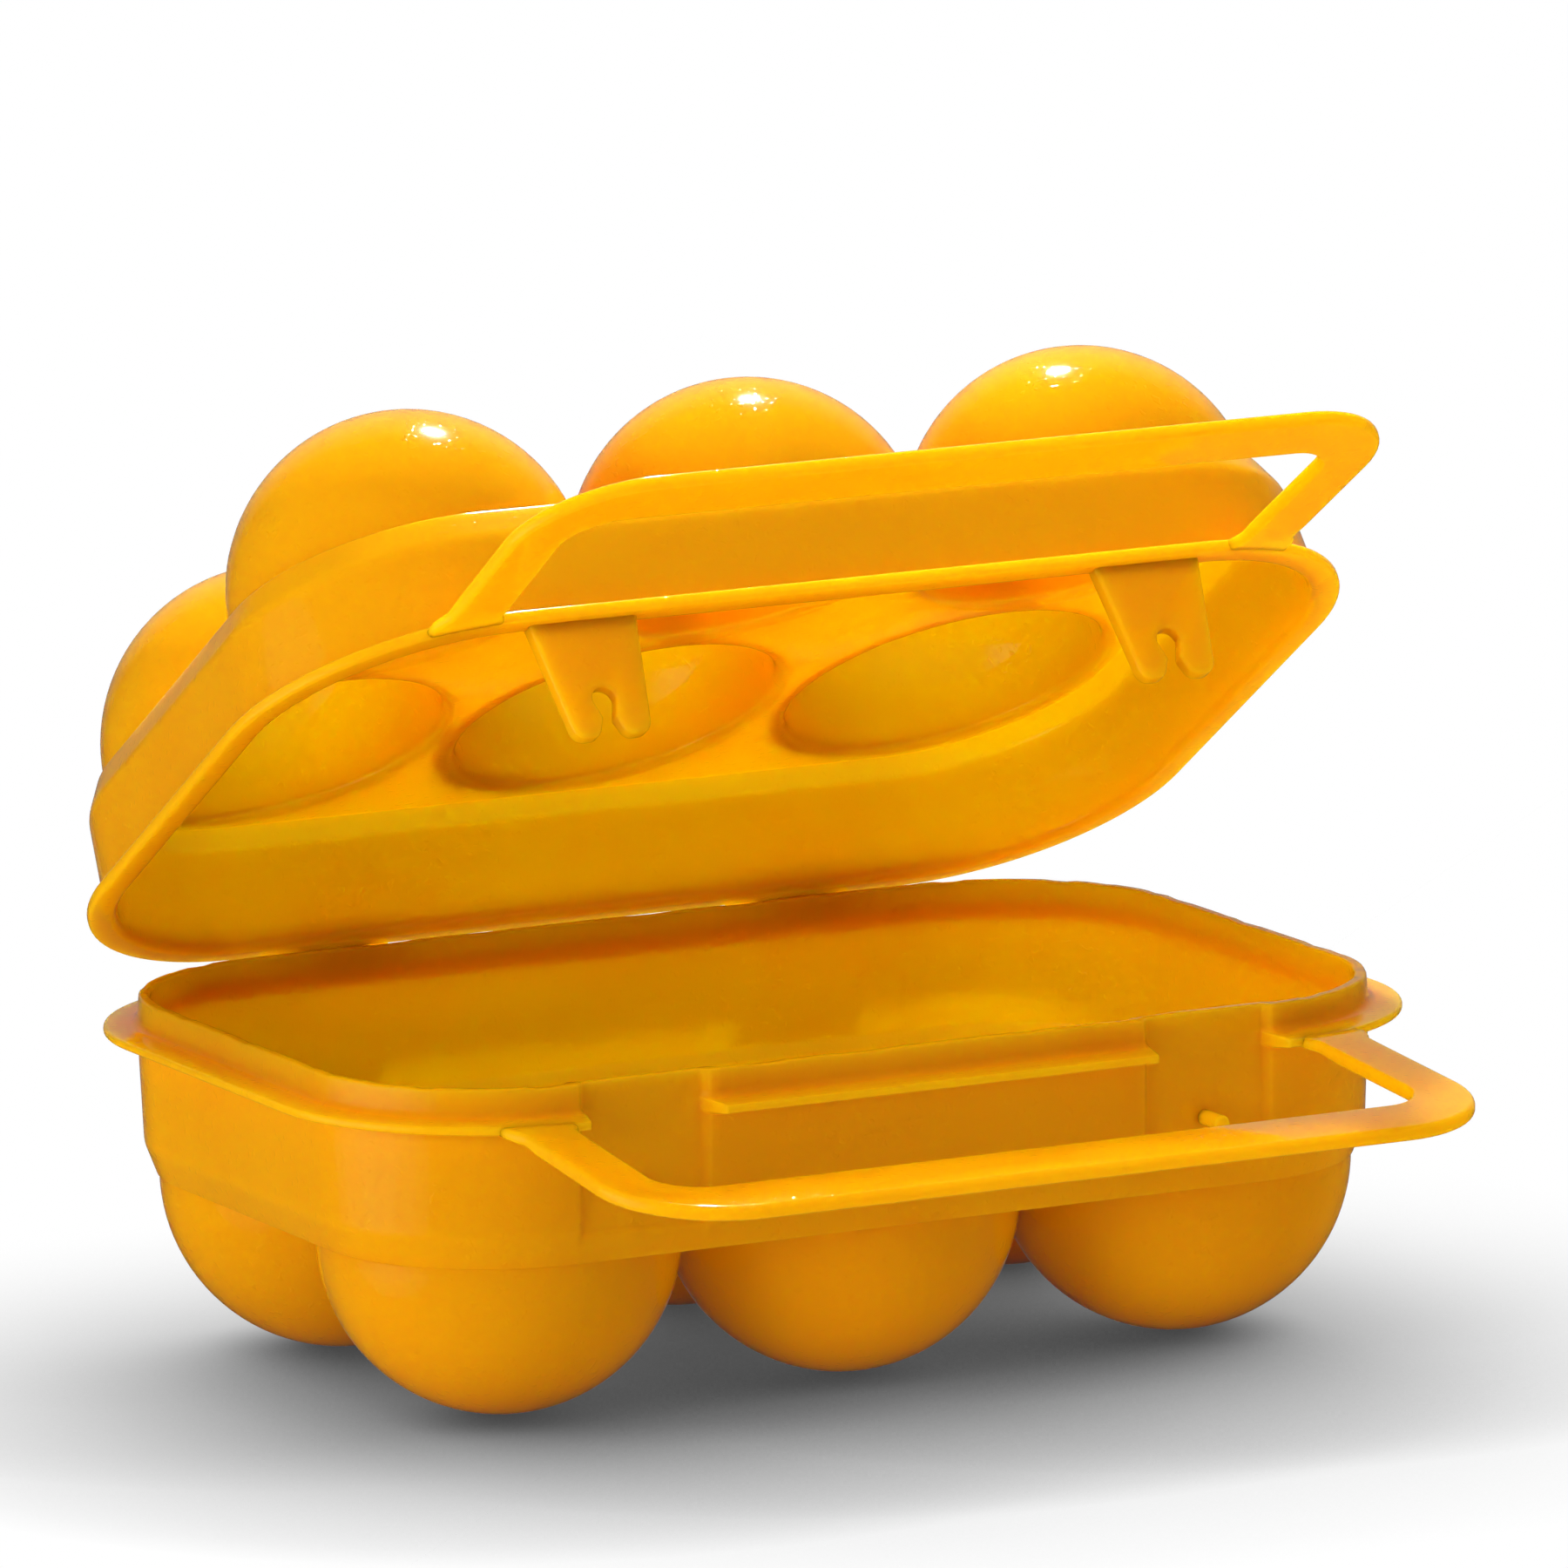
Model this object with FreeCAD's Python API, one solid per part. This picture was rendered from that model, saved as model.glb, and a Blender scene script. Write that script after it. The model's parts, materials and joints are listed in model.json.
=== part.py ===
import FreeCAD, Part
import math
import os
from FreeCAD import Vector

# Six-egg carrier: a base and a lid moulded in polypropylene, joined by a snap hinge at the rear.
# Frame: X along the three columns, Y from front (-) to rear (+), Z up, origin on the table under
# the middle of the cup grid. Millimetres and degrees.

# Cup grid
columns = 3
rows = 2
cupRadius = 22.6          # outside of a cup
columnGap = 1.8           # between neighbouring cups along X
rowGap = 0.4              # between neighbouring cups along Y
cupWall = 1.5
footDepth = 0.3           # flat moulded under each base cup

# Walls, all outlines follow the cup grid at an offset from the cup radius
wallThickness = 1.5
plateThickness = 1.5
wallOffset = 2.4          # base wall at the parting plane
lipLean = 0.3             # how far the lip draws in at its top
baseBendOffset = 1.8      # base wall where its shoulder starts
basePlateOffset = 0.3     # edge of the base's flat underside
bendHeight = 4.0          # height of the sloped shoulder
shoulderRound = 4.0       # radius where wall and shoulder meet
baseWallHeight = 19.2     # flat underside to parting plane
lipHeight = 3.5
lidWallHeight = 17.5      # lid's lower face to its flat top
lidBendDraw = 1.0         # how far the lid wall draws in up to its shoulder
lidPlateOffset = 1.1
baseHoleRound = 0.6       # rounded egg-side edge of the holes over the base cups
lidHoleRound = 1.5        # the same in the lid
lipRound = 0.4            # edges of the lip's top
lipRootRound = 1.2        # hollow corner between lip and rim
lidMouthRound = 1.2       # inner edge of the lid's wall, over that corner

# Rims and carrying loops
flangeThickness = 2.0
flangeOverhang = 4.2      # rim beyond the base wall
flangeRound = 0.7
loopReach = 38.2          # from the rim's front edge to the loop's front edge
loopRootOut = 11.4        # outer edge of a leg at the rim, beyond the corner cup's middle
loopSplay = 1.3           # how far a leg spreads from the rim to the front corner
loopBar = 9.6             # width of the bar
loopLeg = 7.4             # width of a leg
loopOuterCorner = 15.0
loopInnerCorner = 6.0
loopRoot = 3.2            # length of the legs' roots inside the rim
loopThickness = 1.9
loopRound = 0.8
baseLoopDroop = 5.7       # the base's loop leans down towards the front

# Fit of the halves
lidGap = 0.3              # between the two rims when shut
lipClearance = 0.35       # between the base's lip and the lid's wall
openAngle = 33.0          # lid as photographed

# Front latches: keyhole tongues on the lid over pegs on the base
latchLegRoom = 3.5        # between a recess and the loop's leg
tongueTopWidth = 14.6
tongueTipWidth = 10.2
tongueLength = 15.2
tongueThickness = 2.3
tongueTipRound = 1.6
keyholeHeight = 4.9       # tongue's tip to the keyhole's centre
keyholeRadius = 1.6
throatWidth = 2.6
throatHeight = 2.4        # tongue's tip to the narrowest place
mouthWidth = 4.6
mouthRound = 0.9
pegClearance = 0.3        # between peg and throat on each side
pegReach = 0.9            # peg beyond the tongue's outer face
pegRound = 0.3
recessSideRoom = 1.2      # beside a tongue
recessDepth = 1.2
recessTipRoom = 1.2       # below a tongue's tip

# Rear hinge
hingeInset = 14.0         # hinge middle, inwards from the corner cup's middle
hingeRoom = 0.4           # between a clip and the rim's rear edge
pinRadius = 1.5
pinClearance = 0.08
clipWall = 1.02
clipLength = 10.0
clipMouth = 2.4
earLength = 2.6
earGap = 0.3

# Heights and places that follow from the sizes above
plateBottom = cupRadius - footDepth
partingHeight = plateBottom + baseWallHeight
lipTop = partingHeight + lipHeight
lidPlane = partingHeight + lidGap
lidTop = lidPlane + lidWallHeight
cupInner = cupRadius - cupWall
columnPitch = 2 * cupRadius + columnGap
rowPitch = 2 * cupRadius + rowGap
lidWallOffset = wallOffset + lipClearance + wallThickness
lidBendOffset = lidWallOffset - lidBendDraw
baseFloor = plateBottom + plateThickness
lidCeiling = lidTop - plateThickness
floorOffset = (baseBendOffset - wallThickness
               - (baseBendOffset - basePlateOffset) * (1 - plateThickness / bendHeight))
ceilingOffset = (lidBendOffset - wallThickness
                 - (lidBendOffset - lidPlateOffset) * (1 - plateThickness / bendHeight))
flangeOffset = wallOffset + flangeOverhang
gridHalfLength = columnPitch * (columns - 1) / 2
gridHalfDepth = rowPitch * (rows - 1) / 2
rimHalfDepth = gridHalfDepth + cupRadius + flangeOffset
clipRadius = pinRadius + pinClearance + clipWall
hingeAxis = Vector(0, rimHalfDepth + clipRadius + hingeRoom, partingHeight + lidGap / 2)
hingeMiddle = gridHalfLength - hingeInset
loopRootHalf = gridHalfLength + loopRootOut
recessFace = -(gridHalfDepth + cupRadius + wallOffset - recessDepth)
tongueInnerFace = -(gridHalfDepth + cupRadius + wallOffset + lipClearance)
tongueOuterFace = tongueInnerFace - tongueThickness
recessHalf = tongueTopWidth / 2 + recessSideRoom
latchMiddle = loopRootHalf - loopLeg - latchLegRoom - recessHalf
tongueTip = lidPlane - tongueLength
latchHeight = tongueTip + keyholeHeight
pegRadius = throatWidth / 2 - pegClearance
reach = 200.0             # longer than the part, for cutting blocks
cutMargin = 1.0           # how far a cutting tool runs past the face it opens

columnNames = ("left", "middle", "right")
rowNames = ("front", "rear")
sides = (("left", -1), ("right", 1))


def outline(offset, z):
    """Rounded rectangle round the cup grid, offset outwards from the corner cups."""
    r = cupRadius + offset
    a, b = gridHalfLength, gridHalfDepth
    h = r * math.sqrt(0.5)
    corners = ((a, b, 1, 1), (-a, b, -1, 1), (-a, -b, -1, -1), (a, -b, 1, -1))
    edges = []
    for i, (x, y, sx, sy) in enumerate(corners):
        along_x, along_y = Vector(x + sx * r, y, z), Vector(x, y + sy * r, z)
        first, last = (along_x, along_y) if sx * sy > 0 else (along_y, along_x)
        edges.append(Part.Arc(first, Vector(x + sx * h, y + sy * h, z), last).toShape())
        nx, ny, tx, ty = corners[(i + 1) % 4]
        start = Vector(nx + tx * r, ny, z) if tx * ty > 0 else Vector(nx, ny + ty * r, z)
        edges.append(Part.LineSegment(last, start).toShape())
    return Part.Wire(edges)


def body_through(sections):
    """Closed ruled body through outlines given as (height, offset)."""
    return Part.makeLoft([outline(offset, z) for z, offset in sections], True, True)


def level_edges(shape, z):
    return [e for e in shape.Edges if all(abs(v.Z - z) < 1e-4 for v in e.Vertexes)]


def lies_inside(edge, offset):
    """Whether an edge stays within the outline at this offset."""
    r = cupRadius + offset - 1e-3
    ends = [edge.valueAt(t) for t in (edge.FirstParameter, edge.LastParameter)]
    beyond = [(max(abs(p.x) - gridHalfLength, 0), max(abs(p.y) - gridHalfDepth, 0)) for p in ends]
    return all(math.hypot(dx, dy) < r for dx, dy in beyond)


def block(x0, x1, y0, y1, z0, z1):
    return Part.makeBox(x1 - x0, y1 - y0, z1 - z0, Vector(x0, y0, z0))


def cup_places():
    for row, row_name in enumerate(rowNames[:rows]):
        for column, column_name in enumerate(columnNames[:columns]):
            x = (column - (columns - 1) / 2) * columnPitch
            y = (row - (rows - 1) / 2) * rowPitch
            yield row_name + "_" + column_name, x, y


def flared_hole(x, y, flat_z, inner_z, edge_round):
    """Round hole through a plate whose edge is rounded on the egg side."""
    way = 1 if inner_z > flat_z else -1
    flare = inner_z - way * edge_round
    middle = cupInner + edge_round * (1 - math.sqrt(0.5))
    outer, top = flat_z - way * cutMargin, inner_z + way * cutMargin
    start = Vector(0, 0, outer)
    points = [start, Vector(cupInner, 0, outer), Vector(cupInner, 0, flare)]
    rim = Vector(cupInner + edge_round, 0, inner_z)
    edges = [Part.LineSegment(p, q).toShape() for p, q in zip(points, points[1:])]
    bend = Vector(middle, 0, flare + way * edge_round * math.sqrt(0.5))
    edges.append(Part.Arc(points[-1], bend, rim).toShape())
    tail = [rim, Vector(rim.x, 0, top), Vector(0, 0, top), start]
    edges += [Part.LineSegment(p, q).toShape() for p, q in zip(tail, tail[1:])]
    tool = Part.Face(Part.Wire(edges)).revolve(Vector(0, 0, 0), Vector(0, 0, 1), 360)
    tool.translate(Vector(x, y, 0))
    return tool


def base_outside():
    """Outside of the base: shoulder, wall and lip, before the latch recesses."""
    bend = plateBottom + bendHeight
    shape = body_through([(plateBottom, basePlateOffset), (bend, baseBendOffset),
                          (partingHeight, wallOffset), (lipTop, wallOffset - lipLean)])
    return shape.makeFillet(shoulderRound, level_edges(shape, bend))


def base_inside():
    bend = plateBottom + bendHeight
    lip_offset = wallOffset - wallThickness - lipLean * (lipHeight + cutMargin) / lipHeight
    shape = body_through([(baseFloor, floorOffset), (bend, baseBendOffset - wallThickness),
                          (partingHeight, wallOffset - wallThickness),
                          (lipTop + cutMargin, lip_offset)])
    return shape.makeFillet(shoulderRound - wallThickness, level_edges(shape, bend))


def recess_blocks(extra):
    """Blocks where the front wall steps in behind each tongue, grown by extra for the inside."""
    low = tongueTip - recessTipRoom - extra
    for _, side in sides:
        x = side * latchMiddle
        half = recessHalf + extra
        yield block(x - half, x + half, -reach, recessFace + extra, low, lipTop + reach)


def base_tray():
    outside, inside = base_outside(), base_inside()
    for tool in recess_blocks(0):
        outside = outside.cut(tool)
    for tool in recess_blocks(wallThickness):
        inside = inside.cut(tool)
    shape = outside.cut(inside)
    shape = shape.makeFillet(lipRound, level_edges(shape, lipTop))
    for _, x, y in cup_places():
        shape = shape.cut(flared_hole(x, y, plateBottom, baseFloor, baseHoleRound))
    return shape


def lid_outside():
    bend = lidTop - bendHeight
    shape = body_through([(lidPlane, lidWallOffset), (bend, lidBendOffset), (lidTop, lidPlateOffset)])
    return shape.makeFillet(shoulderRound, level_edges(shape, bend))


def lid_inside():
    bend = lidTop - bendHeight
    draw = lidBendDraw / (bend - lidPlane)
    mouth_offset = lidWallOffset - wallThickness + draw * cutMargin
    shape = body_through([(lidPlane - cutMargin, mouth_offset), (bend, lidBendOffset - wallThickness),
                          (lidCeiling, ceilingOffset)])
    return shape.makeFillet(shoulderRound - wallThickness, level_edges(shape, bend))


def lid_tray():
    shape = lid_outside().cut(lid_inside())
    mouth_edges = [e for e in level_edges(shape, lidPlane) if lies_inside(e, lidWallOffset)]
    shape = shape.makeFillet(lidMouthRound, mouth_edges)
    for _, x, y in cup_places():
        shape = shape.cut(flared_hole(x, y, lidTop, lidCeiling, lidHoleRound))
    return shape


def shell_parts(half, tray, edge_offset):
    """A tray as its holed plate and, outside the plate's inner edge, the stretches of its wall."""
    core = Part.Face(outline(edge_offset, 0)).extrude(Vector(0, 0, reach))
    pieces = {half + "_plate": tray.common(core)}
    wall = tray.cut(core)
    a, b = gridHalfLength, gridHalfDepth
    for row, y0, y1 in (("front", -reach, -b), ("", -b, b), ("rear", b, reach)):
        for column, x0, x1 in (("left", -reach, -a), ("", -a, a), ("right", a, reach)):
            if row and column:
                name = half + "_corner_" + row + "_" + column
            elif row or column:
                name = half + "_wall_" + row + column
            else:
                continue
            pieces[name] = wall.common(block(x0, x1, y0, y1, 0, reach))
    return pieces


def cup(x, y, centre_z, low, high):
    """Half of a hollow ball between two heights."""
    centre = Vector(x, y, centre_z)
    ball = Part.makeSphere(cupRadius, centre).cut(Part.makeSphere(cupInner, centre))
    keep = block(x - reach, x + reach, y - reach, y + reach, low, high)
    return ball.common(keep)


def rounded_chain(points, radii):
    """Closed face through points, each corner rounded by its radius (0 keeps it sharp)."""
    count = len(points)
    edges, ends = [], []
    for i, p in enumerate(points):
        before, after = points[i - 1] - p, points[(i + 1) % count] - p
        if radii[i] == 0:
            ends.append((p, p))
            continue
        half = before.getAngle(after) / 2
        back = radii[i] / math.tan(half)
        u, v = Vector(before).normalize(), Vector(after).normalize()
        centre = p + Vector(u + v).normalize() * (radii[i] / math.sin(half))
        first, last = p + u * back, p + v * back
        middle = centre + Vector(p - centre).normalize() * radii[i]
        edges.append(Part.Arc(first, middle, last).toShape())
        ends.append((first, last))
    for i in range(count):
        start, stop = ends[i][1], ends[(i + 1) % count][0]
        if (stop - start).Length > 1e-6:
            edges.append(Part.LineSegment(start, stop).toShape())
    return Part.Face(Part.Wire(Part.__sortEdges__(edges)))


def loop_plan(root):
    """Plan of a carrying loop, its root buried in the rim."""
    front = -rimHalfDepth - loopReach

    def leg_half(y, inset):
        share = (-rimHalfDepth - y) / loopReach
        return loopRootHalf + loopSplay * share - inset

    def frame(bar, leg, corner):
        y = front + bar
        points = [Vector(-leg_half(root, leg), root, 0), Vector(-leg_half(y, leg), y, 0),
                  Vector(leg_half(y, leg), y, 0), Vector(leg_half(root, leg), root, 0)]
        return rounded_chain(points, (0, corner, corner, 0))
    return frame(0, 0, loopOuterCorner).cut(frame(loopBar, loopLeg, loopInnerCorner))


def loop(parting, away, droop):
    """Carrying loop, level with the rim's parting face at its root and turned away by the droop."""
    root, front = -rimHalfDepth + loopRoot, -rimHalfDepth - loopReach
    tip = parting + away * math.tan(math.radians(droop)) * (root - front)
    thick = away * loopThickness
    side = [Vector(-reach, root, parting), Vector(-reach, front, tip),
            Vector(-reach, front, tip + thick), Vector(-reach, root, parting + thick)]
    slab = Part.Face(Part.makePolygon(side + side[:1])).extrude(Vector(2 * reach, 0, 0))
    plan = loop_plan(root)
    plan.translate(Vector(0, 0, -reach))
    shape = plan.extrude(Vector(0, 0, 2 * reach)).common(slab)
    long_edges = []
    for edge in shape.Edges:
        first, last = edge.Vertexes[0], edge.Vertexes[-1]
        upright = abs(first.X - last.X) + abs(first.Y - last.Y) < 1e-4
        at_root = abs(first.Y - root) + abs(last.Y - root) < 1e-4
        if not upright and not at_root:
            long_edges.append(edge)
    return shape.makeFillet(loopRound, long_edges)


def flange(parting, away):
    """Flat plate of a rim, its outer edges rounded."""
    far = parting + away * flangeThickness
    shape = Part.Face(outline(flangeOffset, parting)).extrude(Vector(0, 0, away * flangeThickness))
    return shape.makeFillet(flangeRound, level_edges(shape, parting) + level_edges(shape, far))


def lip_stub():
    """The lip above the rim as a full block, for the hollow corner at its foot."""
    return body_through([(partingHeight, wallOffset), (lipTop, wallOffset - lipLean)])


def rim(plate, parting, away, droop, outside):
    """Rim with its carrying loop, cut to sit against the half's wall."""
    return plate.fuse(loop(parting, away, droop)).removeSplitter().cut(outside)


def base_rim_parts():
    """The base's rim, cut through at the latches: the long part with the loop, and the front ledge."""
    plate = flange(partingHeight, -1).fuse(lip_stub()).removeSplitter()
    foot = [e for e in level_edges(plate, partingHeight) if lies_inside(e, wallOffset + flangeOverhang / 2)]
    plate = plate.makeFillet(lipRootRound, foot)
    shape = rim(plate, partingHeight, -1, baseLoopDroop, base_outside())
    for _, side in sides:
        x = side * latchMiddle
        shape = shape.cut(block(x - recessHalf, x + recessHalf, -rimHalfDepth - cutMargin, 0, 0, reach))
    return sorted(shape.Solids, key=lambda solid: -solid.Volume)


def lid_rim():
    return rim(flange(lidPlane, 1), lidPlane, 1, 0, lid_outside())


def tongue(side, tray, carrier):
    """Latch tongue in line with the lid's front wall, with a keyhole open at its tip."""
    x = side * latchMiddle
    top, tip = lidPlane, tongueTip
    root = top + lidMouthRound
    key, throat = latchHeight, tongueTip + throatHeight
    wide, slim = tongueTopWidth / 2, tongueTipWidth / 2
    blank = rounded_chain([Vector(-wide, 0, root), Vector(-wide, 0, top), Vector(-slim, 0, tip),
                           Vector(slim, 0, tip), Vector(wide, 0, top), Vector(wide, 0, root)],
                          (0, 0, tongueTipRound, tongueTipRound, 0, 0))
    neck, mouth, below = throatWidth / 2, mouthWidth / 2, tip - cutMargin
    slot = rounded_chain([Vector(-keyholeRadius, 0, key), Vector(-neck, 0, throat), Vector(-mouth, 0, tip),
                          Vector(-mouth, 0, below), Vector(mouth, 0, below), Vector(mouth, 0, tip),
                          Vector(neck, 0, throat), Vector(keyholeRadius, 0, key)],
                         (0, mouthRound, 0, 0, 0, 0, mouthRound, 0))
    thick = Vector(0, -tongueThickness, 0)
    ring = Part.makeCylinder(keyholeRadius, tongueThickness, Vector(0, 0, key), Vector(0, -1, 0))
    shape = blank.extrude(thick).cut(slot.extrude(thick)).cut(ring)
    shape.translate(Vector(x, tongueInnerFace, 0))
    return shape.cut(tray).cut(carrier)


def peg(side):
    """Round peg on the recessed front wall, which the keyhole snaps over."""
    start = Vector(side * latchMiddle, recessFace, latchHeight)
    length = recessFace - tongueOuterFace + pegReach
    shape = Part.makeCylinder(pegRadius, length, start, Vector(0, -1, 0))
    tip = recessFace - length
    tip_edges = [e for e in shape.Edges if all(abs(v.Y - tip) < 1e-6 for v in e.Vertexes)]
    return shape.makeFillet(pegRound, tip_edges)


def hinge_lug(side, carrier):
    """Two ears on the base's rim with the hinge pin between them."""
    middle = side * hingeMiddle
    inner = clipLength / 2 + earGap
    pin_length = 2 * inner
    across = Vector(1, 0, 0)
    shape = Part.makeCylinder(pinRadius, pin_length, hingeAxis + Vector(middle - inner, 0, 0), across)
    for end in (-1, 1):
        x0 = middle + (inner if end > 0 else -inner - earLength)
        ear = Part.makeCylinder(clipRadius, earLength, hingeAxis + Vector(x0, 0, 0), across)
        neck = block(x0, x0 + earLength, rimHalfDepth - flangeOverhang / 2, hingeAxis.y,
                     partingHeight - flangeThickness, partingHeight)
        shape = shape.fuse(ear).fuse(neck)
    return shape.removeSplitter().cut(carrier)


def hinge_clip(side, carrier):
    """C-shaped clip on the lid's rim that snaps down over the hinge pin."""
    x0 = side * hingeMiddle - clipLength / 2
    across = Vector(1, 0, 0)
    start = hingeAxis + Vector(x0, 0, 0)
    ring = Part.makeCylinder(clipRadius, clipLength, start, across)
    arm = block(x0, x0 + clipLength, rimHalfDepth - flangeOverhang / 4, hingeAxis.y, lidPlane,
                lidPlane + flangeThickness)
    bore = Part.makeCylinder(pinRadius + pinClearance, clipLength, start, across)
    mouth = block(x0, x0 + clipLength, hingeAxis.y - clipMouth / 2, hingeAxis.y + clipMouth / 2,
                  hingeAxis.z - reach, hingeAxis.z)
    return ring.fuse(arm).removeSplitter().cut(carrier).cut(bore).cut(mouth)


def opened(shape):
    """The lid's pieces turned about the hinge to the photographed angle."""
    turned = shape.copy()
    turned.rotate(hingeAxis, Vector(1, 0, 0), -openAngle)
    return turned


def base_pieces():
    carrier, ledge = base_rim_parts()
    pieces = {"base_rim": carrier, "base_front_ledge": ledge}
    pieces.update(shell_parts("base", base_tray(), floorOffset))
    for name, x, y in cup_places():
        pieces["base_cup_" + name] = cup(x, y, plateBottom, 0, plateBottom)
    for name, side in sides:
        pieces["latch_peg_" + name] = peg(side)
        pieces["hinge_lug_" + name] = hinge_lug(side, carrier)
    return pieces


def lid_pieces():
    carrier, tray = lid_rim(), lid_tray()
    pieces = {"lid_rim": carrier}
    pieces.update(shell_parts("lid", tray, ceilingOffset))
    for name, x, y in cup_places():
        pieces["lid_cup_" + name] = cup(x, y, lidTop, lidTop, lidTop + cupRadius)
    for name, side in sides:
        pieces["latch_tongue_" + name] = tongue(side, tray, carrier)
        pieces["hinge_clip_" + name] = hinge_clip(side, carrier)
    return {name: opened(shape) for name, shape in pieces.items()}


def main():
    os.makedirs("parts", exist_ok=True)
    for name, shape in {**base_pieces(), **lid_pieces()}.items():
        shape.exportStep("parts/" + name + ".step")
        print(name, "valid", shape.isValid(), "solids", len(shape.Solids), "volume", round(shape.Volume))


main()
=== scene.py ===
import json
import math
import bmesh
import bpy
import numpy as np
from mathutils import Matrix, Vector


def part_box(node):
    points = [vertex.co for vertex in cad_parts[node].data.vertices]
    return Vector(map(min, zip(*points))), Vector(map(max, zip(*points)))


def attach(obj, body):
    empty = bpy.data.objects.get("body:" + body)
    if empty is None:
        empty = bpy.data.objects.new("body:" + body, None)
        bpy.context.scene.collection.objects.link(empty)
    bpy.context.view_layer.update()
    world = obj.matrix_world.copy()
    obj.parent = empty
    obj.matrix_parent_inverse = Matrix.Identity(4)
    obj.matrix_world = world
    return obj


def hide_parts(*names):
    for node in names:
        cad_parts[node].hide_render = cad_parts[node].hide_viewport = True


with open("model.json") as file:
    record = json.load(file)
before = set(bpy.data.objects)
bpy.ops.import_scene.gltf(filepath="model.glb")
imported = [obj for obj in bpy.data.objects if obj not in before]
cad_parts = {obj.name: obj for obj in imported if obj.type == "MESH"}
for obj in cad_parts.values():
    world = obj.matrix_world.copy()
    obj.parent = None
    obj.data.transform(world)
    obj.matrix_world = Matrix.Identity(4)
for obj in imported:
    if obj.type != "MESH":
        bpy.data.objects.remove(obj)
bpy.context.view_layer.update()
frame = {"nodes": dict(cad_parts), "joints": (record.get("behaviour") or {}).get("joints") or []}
print("frame loaded:", len(frame["nodes"]), "nodes")

mm = 0.001
weldGap = 0.002 * mm  # points nearer than this are joined

# the cup grid and the hinge, read off the frame, in millimetres
cupLow, cupHigh = [np.array(corner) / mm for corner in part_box("base_cup_rear_right")]
cupRadius = (cupHigh[0] - cupLow[0]) / 2
gridX, gridY = (cupLow[:2] + cupHigh[:2]) / 2
basePlate = cupHigh[2]  # flat underside of the base, where its cups start
hinge = frame["joints"][0]
hingeY, hingeZ = hinge["pos_m"][1] / mm, hinge["pos_m"][2] / mm
openAngle = math.radians(-hinge["range_deg"][0])  # the lid is drawn shut and turned up by this


def roundedLine(points, radii, steps=7):
    # an open polyline whose inner corners become arcs: the arc's middle lies on the corner's
    # bisector at radius / sin(half angle), its ends at radius / tan(half angle) along both runs
    points = np.array(points, float)
    line = [points[:1]]
    for before, corner, after, radius in zip(points, points[1:], points[2:], radii):
        back, ahead = before - corner, after - corner
        back, ahead = back / np.linalg.norm(back), ahead / np.linalg.norm(ahead)
        half = math.acos(np.clip(back @ ahead, -1, 1)) / 2
        if radius == 0 or half > 1.56:  # sharp, or nearly straight on
            line.append(corner[None])
            continue
        bisector = (back + ahead) / np.linalg.norm(back + ahead)
        middle = corner + bisector * radius / math.sin(half)
        first = corner + back * radius / math.tan(half) - middle
        last = corner + ahead * radius / math.tan(half) - middle
        startTurn = math.atan2(first[1], first[0])
        sweep = (math.atan2(last[1], last[0]) - startTurn + math.pi) % (2 * math.pi) - math.pi
        turn = startTurn + sweep * np.linspace(0, 1, steps)
        line.append(middle + radius * np.stack([np.cos(turn), np.sin(turn)], 1))
    line.append(points[-1:])
    return np.concatenate(line)


def spaced(line, gap):
    # the same polyline with every run cut into equal steps no longer than gap
    runs = np.linalg.norm(np.diff(line, axis=0), axis=1)
    counts = np.maximum(np.ceil(runs / gap).astype(int), 1)
    steps = [a + (b - a) * np.linspace(0, 1, n, endpoint=False)[:, None]
             for a, b, n in zip(line, line[1:], counts)]
    return np.concatenate(steps + [line[-1:]])


def softStep(x, edge, soft):
    # 0 well below the edge, 1 well above it, an S-curve of half-width soft between
    t = np.clip((x - edge) / (2 * soft) + 0.5, 0, 1)
    return t * t * (3 - 2 * t)


def gridFaces(rows, columns, start):
    # quads between neighbouring rows of a grid whose points are numbered row by row; a row closes on itself
    across = np.arange(columns)
    down = np.arange(rows - 1)[:, None] * columns
    right = (across + 1) % columns
    quads = np.stack([down + across, down + right, down + columns + right, down + columns + across], -1)
    return quads.reshape(-1, 4) + start


def meshObject(name, grids, caps=(), turned=False):
    # one mesh from grids of points in mm, joined where they meet; caps are grids' rows closed by a face
    faces, start, points = [], 0, []
    for grid in grids:
        rows, columns = grid.shape[:2]
        faces += gridFaces(rows, columns, start).tolist()
        faces += [list(range(start + (row % rows) * columns, start + (row % rows + 1) * columns))
                  for row in caps]
        points.append(grid.reshape(-1, 3))
        start += rows * columns
    points = np.concatenate(points)
    points = openLid(points) if turned else points
    mesh = bpy.data.meshes.new(name)
    mesh.from_pydata((points * mm).tolist(), [], faces)
    solid = bmesh.new()
    solid.from_mesh(mesh)
    bmesh.ops.remove_doubles(solid, verts=solid.verts, dist=weldGap)
    bmesh.ops.recalc_face_normals(solid, faces=solid.faces)
    solid.to_mesh(mesh)
    solid.free()
    mesh.polygons.foreach_set("use_smooth", [True] * len(mesh.polygons))
    piece = bpy.data.objects.new(name, mesh)
    bpy.context.scene.collection.objects.link(piece)
    return piece


def openLid(points):
    # points of the shut lid, turned about the hinge line to the frame's resting angle
    y, z = points[:, 1] - hingeY, points[:, 2] - hingeZ
    c, s = math.cos(openAngle), math.sin(openAngle)
    return np.stack([points[:, 0], hingeY + y * c + z * s, hingeZ - y * s + z * c], 1)


# how finely both shells are drawn: steps along the path's stretches, along a cell's inner lines and over
# a cup, the longest row in mm, and where the flat rows lie between a cup and its cell's outline
stepSettings = {"front": 40, "side": 20, "corner": 26, "cellLine": 20, "ball": 26, "crease": 5, "holeEdge": 7,
                "rowGap": 1.6, "flatRows": (0.35, 1.0)}


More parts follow.
